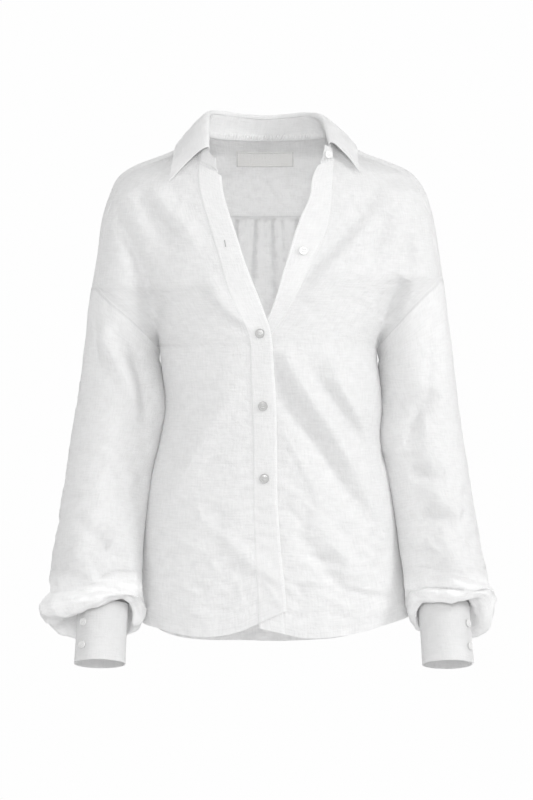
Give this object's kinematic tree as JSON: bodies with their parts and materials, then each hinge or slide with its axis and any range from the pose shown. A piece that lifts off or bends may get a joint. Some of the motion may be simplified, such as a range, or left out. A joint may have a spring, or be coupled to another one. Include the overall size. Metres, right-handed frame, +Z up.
{
  "type": "button-up shirt",
  "caption": "Loose white linen button-up shirt in its worn form, open at the neck, with a folded collar, bloused sleeves and buttoned cuffs.",
  "frame": {"origin": "mid point between the shoulders where the neck begins, the place where the wearer holds the shirt up", "axes": "+X to the wearer's left, +Y to the wearer's back, +Z up"},
  "size_m": [0.6153, 0.2291, 0.7658],
  "materials": {
    "linen": "matte",
    "label_cloth": "satin",
    "button_plastic": "gloss"
  },
  "bodies": {
    "root": {"back": "linen", "yoke": "linen", "front_right": "linen", "front_left": "linen", "placket_right": "linen", "placket_left": "linen", "collar_stand": "linen", "collar_fall": "linen", "sleeve_right": "linen", "sleeve_left": "linen", "cuff_right": "linen", "cuff_left": "linen", "label": "label_cloth", "button_collar": "button_plastic", "button_front_1": "button_plastic", "button_front_2": "button_plastic", "button_front_3": "button_plastic", "button_front_4": "button_plastic", "button_cuff_right_1": "button_plastic", "button_cuff_right_2": "button_plastic", "button_cuff_left_1": "button_plastic", "button_cuff_left_2": "button_plastic"}
  },
  "joints": []
}
